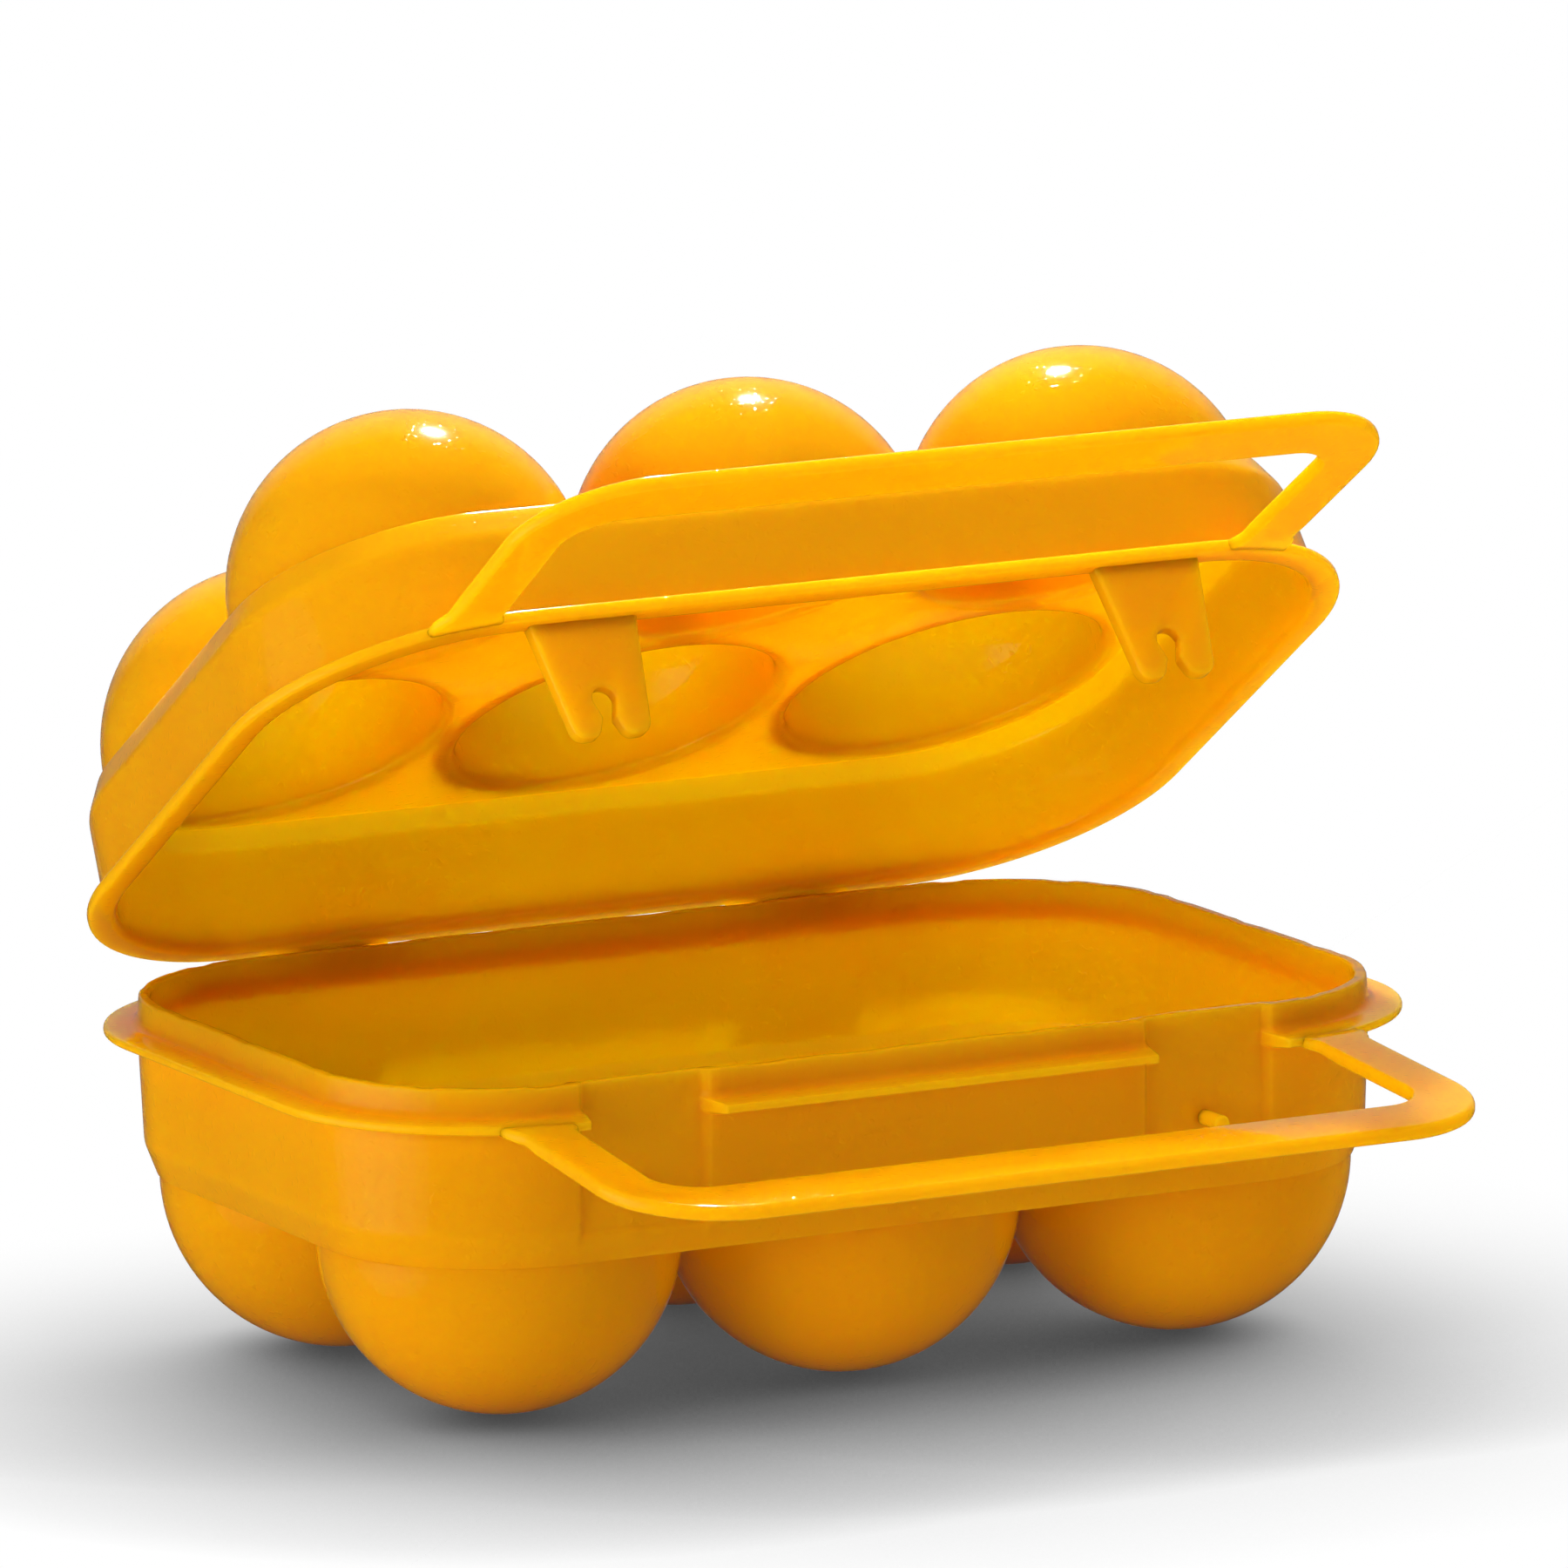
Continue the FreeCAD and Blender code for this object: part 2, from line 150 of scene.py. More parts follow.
def pathAt(u):
    # path round the cup grid: u runs 0 to 8, whole numbers at the tangent points, odd stretches are corners;
    # gives foot points on the rectangle of corner-cup middles, and the outward normals there
    stretch, along = np.floor(u).astype(int) % 8, u - np.floor(u)
    corner = np.array([[-gridX, -gridY], [gridX, -gridY], [gridX, gridY], [-gridX, gridY]])
    index = (stretch + 1) // 2
    share = np.where(stretch % 2 == 0, along, 0)[:, None]
    foot = corner[index % 4] * (1 - share) + corner[(index + 1) % 4] * share
    turn = (stretch // 2 + np.where(stretch % 2, along, 0)) * math.pi / 2 - math.pi / 2
    return foot, np.stack([np.cos(turn), np.sin(turn)], 1)


def frontPlace(x, radius):
    # path parameter of a point on the front at x, also where it lies on a corner's arc
    over = np.maximum(np.abs(x) - gridX, 0) / radius
    corner = np.where(x > 0, 1, 8) + np.sign(x) * np.arcsin(over) / (math.pi / 2)
    return np.where(over > 0, corner, (x + gridX) / (2 * gridX)) % 8


def pathStations(extra):
    # even steps on every stretch, and the extra places, without near doubles
    counts = [stepSettings[name] for name in ("front", "corner", "side", "corner")] * 2
    u = [k + np.linspace(0, 1, n, endpoint=False) for k, n in enumerate(counts)]
    even = np.concatenate(u)
    near = np.abs(even[:, None] - np.asarray(extra)[None]).min(1) < 1e-3 if len(extra) else even < 0
    corners = np.abs(even * 4 - np.round(even * 4)) < 1e-6  # cell lines and tangent points stay
    return np.sort(np.concatenate([even[~near | corners], extra]))


def cellOutline(stations, row, column, offset):
    # outline of one cup's cell: its stretch of the path at this offset, closed along the cell lines
    spans = {(0, 0): (6.5, 8.25), (0, 1): (0.25, 0.75), (0, 2): (0.75, 2.5),
             (1, 2): (2.5, 4.25), (1, 1): (4.25, 4.75), (1, 0): (4.75, 6.5)}
    first, last = spans[row, column]
    u = np.concatenate([stations, stations + 8])
    foot, normal = pathAt(u[(u > first - 1e-6) & (u < last + 1e-6)])
    outer = foot + normal * (cupRadius + offset)
    line, ends = gridX / 2, (outer[-1], outer[0])
    sx, sy = column - 1, 2 * row - 1
    if column == 1:
        inner = [ends[0], (-sy * line, 0), (sy * line, 0), ends[1]]
    else:
        inner = [ends[0], (sx * line, 0), ends[1]]
    inner = np.array(inner, float)
    even = np.linspace(0, 1, stepSettings["cellLine"], endpoint=False)
    closing = [a + (b - a) * even[1 if k == 0 else 0:, None]
               for k, (a, b) in enumerate(zip(inner, inner[1:]))]
    return np.concatenate([outer] + closing)


def cellFace(outline, middle, profile, plate):
    # a cup seen from one side: profile rows (radius, height) turned about the cup's axis, then flat
    # rows that widen from the last circle to the cell's outline
    spoke = outline - middle
    length = np.linalg.norm(spoke, axis=1)
    way = spoke / length[:, None]
    cup = np.concatenate([middle + profile[:, :1, None] * way[None],
                          np.broadcast_to(profile[:, 1:, None], (len(profile), len(way), 1))], 2)
    share = np.array(stepSettings["flatRows"])[:, None, None]
    rim = profile[-1, 0]
    flat = middle + way[None] * (rim + (length - rim)[None, :, None] * share)
    flat = np.concatenate([flat, np.full(flat.shape[:2] + (1,), plate)], 2)
    return np.concatenate([cup, flat])


def cupOutside(plate, up, crease, foot=None):
    # quarter circle from the pole to the plate, with a small hollow fillet where they meet
    # a height for the foot cuts the pole flat
    turn = np.linspace(0, math.pi / 2, stepSettings["ball"])[:-1]
    ball = np.stack([cupRadius * np.sin(turn), plate + up * cupRadius * np.cos(turn)], 1)
    if foot is not None:
        ball[:, 1] = np.maximum(ball[:, 1], foot)
    bend = np.linspace(math.pi, 1.5 * math.pi, stepSettings["crease"])
    fillet = np.stack([cupRadius + crease + crease * np.cos(bend),
                       plate + up * (crease + crease * np.sin(bend))], 1)
    return np.concatenate([ball, fillet])


def cupInside(ballPlane, up, wall, plate, edge):
    # quarter circle of the hollow, a short straight neck, and the hole's rounded edge up to the plate
    radius = cupRadius - wall
    turn = np.linspace(0, math.pi / 2, stepSettings["ball"])
    ball = np.stack([radius * np.sin(turn), ballPlane + up * radius * np.cos(turn)], 1)
    bend = np.linspace(math.pi, math.pi / 2, stepSettings["holeEdge"])
    neck = np.stack([radius + edge + edge * np.cos(bend), plate + up * edge * (1 - np.sin(bend))], 1)
    tight = abs(neck[0, 1] - ballPlane) < 0.01  # no straight neck between them
    return np.concatenate([ball[:-1] if tight else ball, neck])


def shell(name, stations, ring, offsets, plates, outside, inside, turned):
    # the ring of wall and rim, and the six cups' outer and inner faces, welded into one closed shell
    grids = [np.transpose(ring, (1, 0, 2))]
    for row in range(2):
        for column in range(3):
            middle = np.array([(column - 1) * gridX, (2 * row - 1) * gridY])
            for offset, plate, profile in zip(offsets, plates, (outside, inside)):
                grids.append(cellFace(cellOutline(stations, row, column, offset), middle, profile, plate))
    return meshObject(name, grids, turned=turned)


def carry(stations, offset, height):
    # profile of offsets and heights, one row per station, carried round the path
    foot, normal = pathAt(stations)
    flat = foot[:, None] + normal[:, None] * (cupRadius + offset)[..., None]
    return np.concatenate([flat, height[..., None]], 2)


# base: shoulder, wall with two latch recesses, rim, lip
baseSettings = {
    "cupWall": 1.5, "wall": 1.5, "plate": 1.5, "plateOffset": 0.3, "bendOffset": 1.8, "wallOffset": 2.4,
    "lipOffset": 2.1, "rimOffset": 6.6, "bendHeight": 4.0, "wallHeight": 19.2, "lipHeight": 3.5,
    "rimThickness": 2.0, "rimTaper": 0.3, "rimUnderTaper": 0.7, "shoulderRound": 4.0, "innerRound": 2.5,
    "rimRound": 0.45, "underRound": 0.4, "lipRootRound": 1.2, "lipRound": 0.4, "holeRound": 0.6,
    "crease": 0.15, "plateRound": 0.12, "edgeIn": 0.15, "recessMiddle": 39.0, "recessHalf": 8.5,
    "recessDepth": 1.2, "recessFloor": 25.4, "recessSoft": 0.7, "insideRise": 0.6, "bendClear": 6.0,
    "floorIn": 0.64, "lipWave": 0.16, "waveBand": 0.5, "waveSoft": 0.4,
    "lipBeats": ((9.4, 0.0), (23.6, 1.0), (47.1, 2.0))}
s = baseSettings
bend = basePlate + s["bendHeight"]
parting = basePlate + s["wallHeight"]
lipTop = parting + s["lipHeight"]
baseFloor = basePlate + s["plate"]
rimLow = parting - s["rimThickness"]
rise = (rimLow - bend) / (parting - bend)
basePoints = [
    (s["plateOffset"] - s["edgeIn"], basePlate), (s["plateOffset"], basePlate), (s["bendOffset"], bend),
    (s["bendOffset"] + (s["wallOffset"] - s["bendOffset"]) * rise, rimLow),
    (s["rimOffset"], rimLow + s["rimUnderTaper"]), (s["rimOffset"], parting - s["rimTaper"]),
    (s["wallOffset"], parting), (s["lipOffset"], lipTop), (s["lipOffset"] - s["wall"], lipTop),
    (s["wallOffset"] - s["wall"], parting), (s["bendOffset"] - s["wall"], bend), (-s["floorIn"], baseFloor)]
baseRadii = [s["plateRound"], s["shoulderRound"], s["underRound"], s["rimRound"], s["rimRound"],
             s["lipRootRound"], s["lipRound"], s["lipRound"], 0, s["innerRound"]]
profile = spaced(roundedLine(basePoints, baseRadii), stepSettings["rowGap"])
# stations are closer over the recesses' sides, outside and inside the wall
overEdge = s["recessSoft"] * np.linspace(-1, 1, 7)
edges = np.concatenate([side * s["recessMiddle"] + way * (s["recessHalf"] + grow) + overEdge
                        for side in (-1, 1) for way in (-1, 1) for grow in (0, s["wall"])])
baseStations = pathStations(frontPlace(edges, cupRadius + s["wallOffset"]))
foot, normal = pathAt(baseStations)
wallX = foot[:, 0] + normal[:, 0] * (cupRadius + s["wallOffset"])
fromLatch = np.abs(np.abs(wallX) - s["recessMiddle"]) + np.where(normal[:, 1] < -0.5, 0, 1e3)  # front only
inRecess = softStep(s["recessHalf"] - fromLatch, 0, s["recessSoft"])[:, None]
behindRecess = softStep(s["recessHalf"] + s["wall"] - fromLatch, 0, s["recessSoft"])[:, None]
offset, height = profile[:, 0][None], profile[:, 1][None]
top = int(np.argmax(profile[:, 1] >= lipTop - 1e-6)) + 1
outer = (np.arange(len(profile)) <= top)[None]
plainWall = np.interp(height, [basePlate, bend, parting, lipTop],
                      [s["plateOffset"], s["bendOffset"], s["wallOffset"], s["lipOffset"]])
recess = s["wallOffset"] - s["recessDepth"]
above = softStep(height, s["recessFloor"], s["recessSoft"])
aboveInside = softStep(height, s["recessFloor"] - s["wall"] + s["insideRise"], s["recessSoft"])
stepIn = above * (np.maximum(plainWall - recess, 0) + np.maximum(offset - plainWall, 0))
stepInside = aboveInside * np.maximum(plainWall - recess, 0)
baseOffset = offset - np.where(outer, inRecess * stepIn, behindRecess * stepInside)
# on the recess the rim's rows spread evenly up the bare wall
proud = profile[:, 0] > plainWall[0] + 0.02
rimRows = np.flatnonzero((np.arange(len(profile)) < top) & proud & (profile[:, 1] > bend + s["bendClear"]))
even = profile[:, 1].copy()
even[rimRows] = np.linspace(even[rimRows[0]], even[rimRows[-1]], len(rimRows))
baseHeight = height + np.where(outer, inRecess, 0) * (even[None] - height)
# the lip's top is a little uneven, sines of three lengths round the path, flattest where they cancel
slow, quick, fine = [np.sin(baseStations * beat + shift) for beat, shift in s["lipBeats"]]
wavy = np.clip(slow * quick + 0.5 * fine, 0, 1)[:, None]
baseHeight = baseHeight - s["lipWave"] * wavy * softStep(height, lipTop - s["waveBand"], s["waveSoft"])
baseShell = shell("egg_carrier_base", baseStations, carry(baseStations, baseOffset, baseHeight),
                  (basePoints[0][0], basePoints[-1][0]), (basePlate, baseFloor),
                  cupOutside(basePlate, -1, s["crease"], 0.0),
                  cupInside(basePlate, -1, s["cupWall"], baseFloor, s["holeRound"]), False)
print("base shell:", len(baseShell.data.polygons), "faces")

# lid, drawn shut: shoulder, wall, rim, rounded mouth
lidSettings = {
    "gap": 0.3, "cupWall": 1.5, "wall": 1.5, "plate": 1.5, "plateOffset": 1.1, "bendOffset": 3.25,
    "wallOffset": 4.25, "rimOffset": 6.6, "bendHeight": 4.0, "wallHeight": 17.5, "rimThickness": 2.0,
    "rimTaper": 0.25, "plateRound": 0.6, "shoulderRound": 4.0, "innerRound": 2.5, "rimRound": 0.6,
    "topRound": 0.6, "mouthRound": 1.2, "holeRound": 1.5, "crease": 0.15, "edgeIn": 0.6,
    "ceilingOffset": 0.41, "ceilingIn": 0.3, "ceilingRound": 0.3}
s = lidSettings
lidPlane = parting + s["gap"]
lidTop = lidPlane + s["wallHeight"]
lidBend = lidTop - s["bendHeight"]
ceiling = lidTop - s["plate"]
rimTop = lidPlane + s["rimThickness"]
rise = s["rimThickness"] / (lidBend - lidPlane)
lidPoints = [
    (s["plateOffset"] - s["edgeIn"], lidTop), (s["plateOffset"], lidTop), (s["bendOffset"], lidBend),
    (s["wallOffset"] + (s["bendOffset"] - s["wallOffset"]) * rise, rimTop),
    (s["rimOffset"], rimTop - s["rimTaper"]), (s["rimOffset"], lidPlane + s["rimTaper"]),
    (s["wallOffset"] - s["wall"], lidPlane), (s["bendOffset"] - s["wall"], lidBend),
    (s["ceilingOffset"], ceiling), (s["ceilingOffset"] - s["ceilingIn"], ceiling)]
lidRadii = [s["plateRound"], s["shoulderRound"], s["topRound"], s["rimRound"], s["rimRound"], s["mouthRound"],
            s["innerRound"], s["ceilingRound"]]
profile = spaced(roundedLine(lidPoints, lidRadii), stepSettings["rowGap"])
lidStations = pathStations(np.zeros(0))
rows = np.ones((len(lidStations), 1))
lidShell = shell("egg_carrier_lid", lidStations,
                 carry(lidStations, rows * profile[:, 0], rows * profile[:, 1]),
                 (lidPoints[0][0], lidPoints[-1][0]), (lidTop, ceiling),
                 cupOutside(lidTop, 1, s["crease"]),
                 cupInside(lidTop, 1, s["cupWall"], ceiling, s["holeRound"]), True)
print("lid shell:", len(lidShell.data.polygons), "faces")

# carrying loops: a flat band with rounded edges, along two legs and a wider front bar
loopSettings = {"reach": 38.2, "rootHalf": 58.4, "splay": 1.3, "bar": 9.6, "leg": 7.4, "outerCorner": 15.0,
                "innerCorner": 6.0, "thickness": 1.9, "round": 0.8, "root": 3.2, "baseDroop": 5.7,
                "flare": 1.1, "flareRun": 2.2, "rootSink": (0.35, 0.25, 0.0), "rootThick": (1.3, 1.42, 1.9),
                "rootRun": 5.0, "legSteps": 22, "barSteps": 46, "cornerSteps": 17, "edgeSteps": 6}


def carryingLoop(name, face, away, droop, turned):
    # each station joins a point of the outer outline to one of the inner outline; a rounded rectangle as
    # wide as the two are apart stands there, and its height follows the drooping plane
    s = loopSettings
    rimY = -(gridY + cupRadius + lidSettings["rimOffset"])
    root, front = rimY + s["root"], rimY - s["reach"]
    n = s["cornerSteps"]
    marks = np.arange(2.0 * n + 2)  # an outline's points: one end, two arcs, the other end
    places = np.concatenate([np.linspace(0, 1, s["legSteps"])[:-1], marks[1:n],
                             np.linspace(n, n + 1, s["barSteps"])[:-1], marks[n + 1:2 * n],
                             np.linspace(2 * n, 2 * n + 1, s["legSteps"])])

    def outline(bar, leg, corner):
        y = np.array([root, front + bar])
        x = s["rootHalf"] + s["splay"] * (rimY - y) / s["reach"] - leg
        line = roundedLine([(-x[0], y[0]), (-x[1], y[1]), (x[1], y[1]), (x[0], y[0])], [corner] * 2, n)
        return np.stack([np.interp(places, marks, line[:, k]) for k in range(2)], 1)

    outer, inner = outline(0, 0, s["outerCorner"]), outline(s["bar"], s["leg"], s["innerCorner"])
    middle, across = (outer + inner) / 2, (outer - inner) / 2
    half = np.linalg.norm(across, axis=1)
    across = across / half[:, None]
    half = half + s["flare"] * np.clip(1 - (rimY - middle[:, 1]) / s["flareRun"], 0, 1) ** 2
    t, r = s["thickness"], s["round"]
    # inset from the edge, and height
    edge = roundedLine([(-1, 0), (0, 0), (0, t), (-1, t)], [r, r], s["edgeSteps"])[1:-1]
    inset = np.concatenate([edge[:, 0], -edge[::-1, 0]])
    rise = np.concatenate([edge[:, 1], edge[::-1, 1]])
    way = np.repeat([1.0, -1.0], len(edge))
    plan = middle[:, None] + across[:, None] * (half[:, None] * way + inset)[..., None]
    fall = math.tan(math.radians(droop)) * (root - plan[..., 1])
    # the roots lie a little under the rim's faces, so that the legs grow out of its edge
    rootPlaces = [-s["root"], 0, s["rootRun"]]
    near = np.maximum(fall, np.interp(rimY - plan[..., 1], rootPlaces, s["rootSink"]))
    thick = np.interp(rimY - plan[..., 1], rootPlaces, s["rootThick"])
    height = face + away * (near + thick * rise / t)
    return meshObject(name, [np.concatenate([plan, height[..., None]], 2)], caps=(0, -1), turned=turned)


baseLoop = carryingLoop("carrying_loop_base", parting, -1, loopSettings["baseDroop"], False)
lidLoop = carryingLoop("carrying_loop_lid", lidPlane, 1, 0.0, True)
print("carrying loops made")

# latch tongues: a tapering blade with a keyhole open at the tip
tongueSettings = {"middle": 39.0, "topHalf": 7.3, "tipHalf": 5.1, "length": 15.2, "thickness": 2.3,
                  "root": 1.4, "tipRound": 1.7, "keyhole": 4.9, "keyRadius": 1.6, "throatHalf": 0.85,
                  "throat": 2.5, "mouthHalf": 1.9, "throatRound": 0.8, "prongRound": 1.5, "shoulderRound": 2.0,
                  "edge": 0.55, "clearance": 0.35, "gap": 1.5, "cornerSteps": 7, "archSteps": 17, "edgeSteps": 5}


def latchTongue(name, side):
    # the blade's outline with its slot, drawn in at both faces by a quarter-circle edge
    s = tongueSettings
    tip = lidPlane - s["length"]
    key = tip + s["keyhole"]
    corners = [(-s["topHalf"], lidPlane + s["root"]), (-s["topHalf"], lidPlane), (-s["tipHalf"], tip),
               (-s["mouthHalf"], tip), (-s["throatHalf"], tip + s["throat"]), (-s["keyRadius"], key)]
    radii = [s["shoulderRound"], s["tipRound"], s["prongRound"], s["throatRound"]]
    left = roundedLine(corners, radii, s["cornerSteps"])
    arch = np.linspace(math.pi, 0, s["archSteps"])[1:-1]
    crown = np.stack([s["keyRadius"] * np.cos(arch), key + s["keyRadius"] * np.sin(arch)], 1)
    outline = spaced(np.concatenate([left, crown, (left * [-1, 1])[::-1]]), s["gap"])
    ahead, behind = np.roll(outline, -1, 0) - outline, outline - np.roll(outline, 1, 0)
    ahead /= np.linalg.norm(ahead, axis=1)[:, None]
    behind /= np.linalg.norm(behind, axis=1)[:, None]
    along = (ahead + behind) / np.linalg.norm(ahead + behind, axis=1)[:, None]
    inward = np.stack([-along[:, 1], along[:, 0]], 1)  # the outline runs anticlockwise seen from the front
    bow = np.linspace(0, math.pi / 2, s["edgeSteps"])
    inset = s["edge"] * np.concatenate([1 - np.sin(bow), 1 - np.cos(bow)])
    depth = np.concatenate([s["edge"] * (1 - np.cos(bow)), s["thickness"] - s["edge"] * (1 - np.sin(bow))])
    flat = outline[None] + inward[None] * inset[:, None, None]
    face = -(gridY + cupRadius + baseSettings["wallOffset"] + s["clearance"])
    y = np.broadcast_to((face - depth)[:, None], flat.shape[:2])
    points = np.stack([side * s["middle"] + flat[..., 0], y, flat[..., 1]], 2)
    return meshObject(name, [points], caps=(0, -1), turned=True)


tongues = [latchTongue("keyhole_tongue_" + name, side) for name, side in (("left", -1), ("right", 1))]
print("latch tongues made")


def linear(hexColour):
    # sRGB hex to linear light
    parts = np.array([int(hexColour[i:i + 2], 16) for i in (1, 3, 5)]) / 255
    return tuple(np.where(parts <= 0.04045, parts / 12.92, ((parts + 0.055) / 1.055) ** 2.4)) + (1.0,)


def addNode(tree, kind, links=None, settings=None, **inputs):
    # a node with its settings, links and fixed inputs; an underscore in an input's name stands for a space
    node = tree.nodes.new(kind)
    for key, value in (settings or {}).items():
        setattr(node, key, value)
    for key, value in inputs.items():
        node.inputs[key.replace("_", " ")].default_value = value
    for key, socket in (links or {}).items():
        tree.links.new(socket, node.inputs[key])
    return node


# injection-moulded polypropylene, pigmented warm yellow: a polished mould gives a glossy, faintly wavy skin,
# and light passes a little way into the thin walls, so edges and backlit walls glow orange; a mould's real
# polishing marks are finer than the grain here, which is drawn as coarse as it needs to show
polypropyleneSettings = {
    "colour": "#FDA508", "deeper": "#F49405", "flowMm": 28.0, "flowBend": 0.6,
    "waveMm": 3.5, "waveHeightMm": 0.04, "waveStrength": 0.3,
    "grainMm": 0.5, "grainHeightMm": 0.006, "grainStrength": 0.3,
    "dustMm": 0.8, "dustHeightMm": 0.04, "dustStrength": 0.5, "dustFrom": 0.68, "dustFull": 0.78,
    "glowMm": 6.0, "glowColour": (1.0, 1.22, 0.2),
    "roughness": 0.08, "roughSpread": 0.03, "roughFrom": 0.3, "roughFull": 0.7, "ior": 1.49}


def moulding():
    s = polypropyleneSettings
    material = bpy.data.materials.new("moulded_polypropylene")
    material.use_nodes = True
    tree = material.node_tree
    shader = tree.nodes["Principled BSDF"]
    place = addNode(tree, "ShaderNodeTexCoord")
    flow, wave, grain, dust = [
        addNode(tree, "ShaderNodeTexNoise", {"Vector": place.outputs["Object"]},
                Scale=1 / (s[name] * mm), Detail=detail, Distortion=bent).outputs["Fac"]
        for name, detail, bent in (("flowMm", 3.0, s["flowBend"]), ("waveMm", 1.0, 0.0),
                                   ("grainMm", 2.0, 0.0), ("dustMm", 0.0, 0.0))]
    tint = addNode(tree, "ShaderNodeMix", {"Factor": flow}, {"data_type": "RGBA"})
    tint.inputs[6].default_value = linear(s["deeper"])
    tint.inputs[7].default_value = linear(s["colour"])
    waveBump = addNode(tree, "ShaderNodeBump", {"Height": wave},
                       Strength=s["waveStrength"], Distance=s["waveHeightMm"] * mm)
    grainBump = addNode(tree, "ShaderNodeBump", {"Height": grain, "Normal": waveBump.outputs["Normal"]},
                        Strength=s["grainStrength"], Distance=s["grainHeightMm"] * mm)
    # sparse raised specks of dust in the skin, which sparkle round the highlights
    speck = addNode(tree, "ShaderNodeMapRange", {"Value": dust},
                    From_Min=s["dustFrom"], From_Max=s["dustFull"])
    skin = addNode(tree, "ShaderNodeBump",
                   {"Height": speck.outputs["Result"], "Normal": grainBump.outputs["Normal"]},
                   Strength=s["dustStrength"], Distance=s["dustHeightMm"] * mm)
    rough = addNode(tree, "ShaderNodeMapRange", {"Value": flow},
                    From_Min=s["roughFrom"], From_Max=s["roughFull"],
                    To_Min=s["roughness"] - s["roughSpread"], To_Max=s["roughness"] + s["roughSpread"])
    tree.links.new(tint.outputs[2], shader.inputs["Base Color"])
    tree.links.new(rough.outputs["Result"], shader.inputs["Roughness"])
    tree.links.new(skin.outputs["Normal"], shader.inputs["Normal"])
    shader.inputs["IOR"].default_value = s["ior"]
    shader.inputs["Subsurface Weight"].default_value = 1.0
    shader.inputs["Subsurface Radius"].default_value = s["glowColour"]
    shader.inputs["Subsurface Scale"].default_value = s["glowMm"] * mm
    return material


polypropylene = moulding()
print("material made")


def members(prefixes):
    return [name for name in frame["nodes"] if name.startswith(prefixes)]


dressing = (
    (baseShell, "base", members(("base_",))), (baseLoop, "base", []),
    (lidShell, "lid", members(("lid_",))), (lidLoop, "lid", []),
    (tongues[0], "lid", ["latch_tongue_left"]), (tongues[1], "lid", ["latch_tongue_right"]))
for piece, body, nodes in dressing:
    piece.data.materials.append(polypropylene)
    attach(piece, body)
    if nodes:
        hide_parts(*nodes)
for node in members(("latch_peg", "hinge_")):
    mesh = frame["nodes"][node].data
    mesh.materials.clear()
    mesh.materials.append(polypropylene)
print("pieces dressed")

# white paper under the object, lengths in metres
floorSettings = {"size": 12.0, "colour": "#F4F4F4", "roughness": 0.9, "specular": 0.1, "shadowReach": 0.066,
                 "shadowDepth": 1.4, "shadowLean": (0.3, 0.6, 0.74), "shadowSamples": 24}


def whiteFloor():
    s = floorSettings
    mesh = bpy.data.meshes.new("floor")
    h = s["size"] / 2
    mesh.from_pydata([(-h, -h, 0), (h, -h, 0), (h, h, 0), (-h, h, 0)], [], [(0, 1, 2, 3)])
    floor = bpy.data.objects.new("floor", mesh)
    bpy.context.scene.collection.objects.link(floor)
    paper = bpy.data.materials.new("white_paper")
    paper.use_nodes = True
    tree = paper.node_tree
    shader = tree.nodes["Principled BSDF"]
    shader.inputs["Base Color"].default_value = linear(s["colour"])
    shader.inputs["Roughness"].default_value = s["roughness"]
    shader.inputs["Specular IOR Level"].default_value = s["specular"]
    # seen by the camera the paper is an evenly white emission with a painted shadow: it darkens where the object
    # shuts out the sky over it and behind it, as ambient occlusion turns down the emission's strength, so the
    # shadow comes forward
    lean = addNode(tree, "ShaderNodeCombineXYZ", **dict(zip("XYZ", s["shadowLean"])))
    sky = addNode(tree, "ShaderNodeAmbientOcclusion", {"Normal": lean.outputs[0]},
                  {"samples": s["shadowSamples"]}, Distance=s["shadowReach"])
    shade = addNode(tree, "ShaderNodeMath", {0: sky.outputs["AO"]}, {"operation": "POWER"})
    shade.inputs[1].default_value = s["shadowDepth"]
    white = addNode(tree, "ShaderNodeEmission", {"Strength": shade.outputs[0]})
    ray = addNode(tree, "ShaderNodeLightPath")
    seen = addNode(tree, "ShaderNodeMixShader", {0: ray.outputs["Is Camera Ray"], 1: shader.outputs[0],
                                                 2: white.outputs[0]})
    tree.links.new(seen.outputs[0], tree.nodes["Material Output"].inputs["Surface"])
    mesh.materials.append(paper)
    floor.visible_glossy = False  # the plastic mirrors a dim room, not the paper


whiteFloor()
print("floor laid")

# the room round it: fill on surfaces, and what reflections see in front and towards the backdrop
roomSettings = {"fill": 0.08, "gloss": 0.03, "backdropGloss": 0.35, "backdrop": (0.43, 0.85, 0.3),
                "backdropEdge": 0.78}


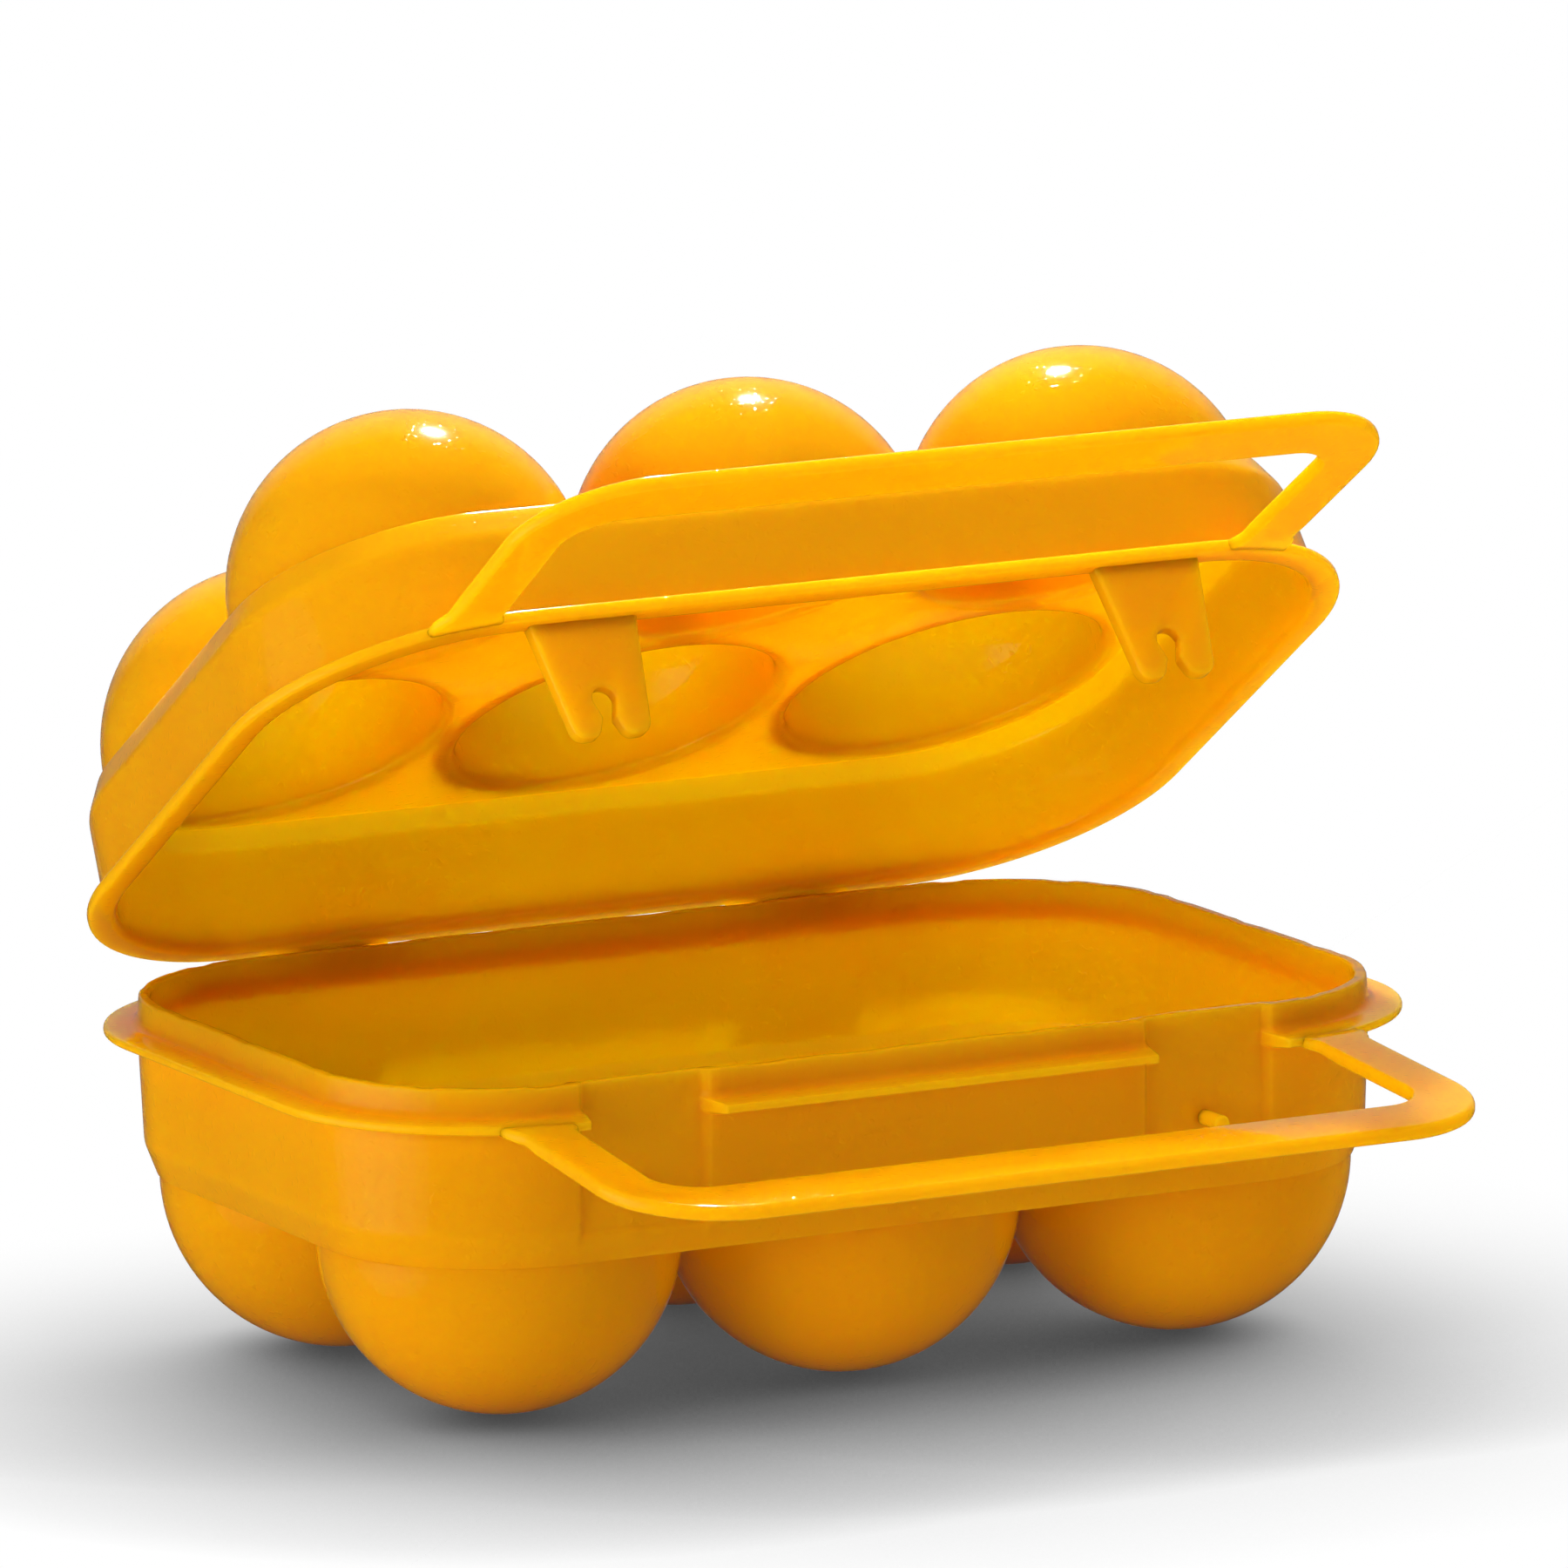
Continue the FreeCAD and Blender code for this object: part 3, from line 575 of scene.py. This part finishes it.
def dimRoom():
    # white to the camera, an even soft fill on surfaces, dim in reflections but for the backdrop behind
    s = roomSettings
    world = bpy.data.worlds.new("studio")
    bpy.context.scene.world = world
    world.use_nodes = True
    tree = world.node_tree
    ray = addNode(tree, "ShaderNodeLightPath")
    gloss = addNode(tree, "ShaderNodeMix", {"Factor": ray.outputs["Is Glossy Ray"]})
    gloss.inputs[2].default_value = s["fill"]
    direction = addNode(tree, "ShaderNodeTexCoord")
    behind = addNode(tree, "ShaderNodeVectorMath", {0: direction.outputs["Generated"]},
                     {"operation": "DOT_PRODUCT"})
    behind.inputs[1].default_value = s["backdrop"]
    backdrop = addNode(tree, "ShaderNodeMapRange", {"Value": behind.outputs["Value"]},
                       From_Min=s["backdropEdge"], To_Min=s["gloss"], To_Max=s["backdropGloss"])
    tree.links.new(backdrop.outputs["Result"], gloss.inputs[3])
    seen = addNode(tree, "ShaderNodeMix", {"Factor": ray.outputs["Is Camera Ray"], 2: gloss.outputs[0]})
    seen.inputs[3].default_value = 1.0
    room = tree.nodes["Background"]
    room.inputs["Color"].default_value = (1, 1, 1, 1)
    tree.links.new(seen.outputs[0], room.inputs["Strength"])


dimRoom()

# camera as photographed: a long lens far off, low over the table
cameraSettings = {"azimuth": -26.886, "elevation": 10.371, "roll": -0.929, "aimRight": 4.351, "aimUp": 24.572,
                  "aimHeight": 45.0, "distance": 2029.352, "lens": 371.781, "sensor": 36.0, "clipEnd": 50.0}


def cameraAxes():
    # right, up and back of the camera, before its roll
    s = cameraSettings
    a, e = math.radians(s["azimuth"]), math.radians(s["elevation"])
    back = np.array([math.sin(a) * math.cos(e), -math.cos(a) * math.cos(e), math.sin(e)])
    right = np.array([math.cos(a), math.sin(a), 0])
    return right, np.cross(back, right), back


right, up, back = cameraAxes()
s = cameraSettings
roll = math.radians(s["roll"])
eye = np.array([0, 0, s["aimHeight"]]) + right * s["aimRight"] + up * s["aimUp"] + back * s["distance"]
axes = np.stack([right * math.cos(roll) + up * math.sin(roll),
                 up * math.cos(roll) - right * math.sin(roll), back], 1)
cameraData = bpy.data.cameras.new("camera")
cameraData.sensor_width = s["sensor"]
cameraData.lens = s["lens"]
cameraData.clip_end = s["clipEnd"]
camera = bpy.data.objects.new("camera", cameraData)
bpy.context.scene.collection.objects.link(camera)
camera.matrix_world = Matrix.Translation(eye * mm) @ Matrix(axes.tolist()).to_4x4()
bpy.context.scene.camera = camera


# each lamp: size in mm, power in W, place and target in mm, and whether the plastic mirrors it
lampSettings = {
    "lamp_above": (30, 2.3, (8, 309, -163), (0, 0, 95), True),
    "softbox_over_loops": (300, 3.0, (29, 642, 176), (0, -85, 37), False),
    "softbox_left": (700, 12.5, (-900, -60, 700), (0, 0, 50), False),
    "softbox_rear": (700, 4.4, (800, 300, -900), (0, 0, 50), False),
    "card_front": (260, 0.15, (60, -150, 320), (0, 0, 100), False)}
# a card seen only in reflections: discs one behind another, so that its edge is soft
cardSettings = {"sizes": (70, 120, 170, 220), "power": 0.009, "powerSize": 180, "place": (-112, 7, 40),
                "target": (-70, -33, 32), "apart": 0.02}


def lamp(name, size, power, place, target, mirrored):
    # a disc lamp pointed at the target; its place is counted from there along the camera's right, up and back
    data = bpy.data.lights.new(name, "AREA")
    data.shape = "DISK"
    data.size = size * mm
    data.energy = power
    light = bpy.data.objects.new(name, data)
    light.visible_glossy = mirrored
    light.visible_camera = False
    bpy.context.scene.collection.objects.link(light)
    spot = np.array(target) + right * place[0] + up * place[1] + back * place[2]
    away = spot - np.array(target)
    away = away / np.linalg.norm(away)
    side = np.cross([0, 0, 1], away)
    side = side / np.linalg.norm(side)
    facing = np.stack([side, np.cross(away, side), away], 1)
    light.matrix_world = Matrix.Translation(spot * mm) @ Matrix(facing.tolist()).to_4x4()
    return light


for name, setting in lampSettings.items():
    lamp(name, *setting)
s = cardSettings
for k, size in enumerate(s["sizes"]):
    place = np.array(s["place"]) * (1 + s["apart"] * k)
    power = s["power"] * (size / s["powerSize"]) ** 2  # every disc equally bright
    card = lamp("card_left_" + str(k + 1), size, power, place, s["target"], True)
    card.visible_diffuse = False
print("studio set")

bpy.context.scene.view_settings.view_transform = "Standard"
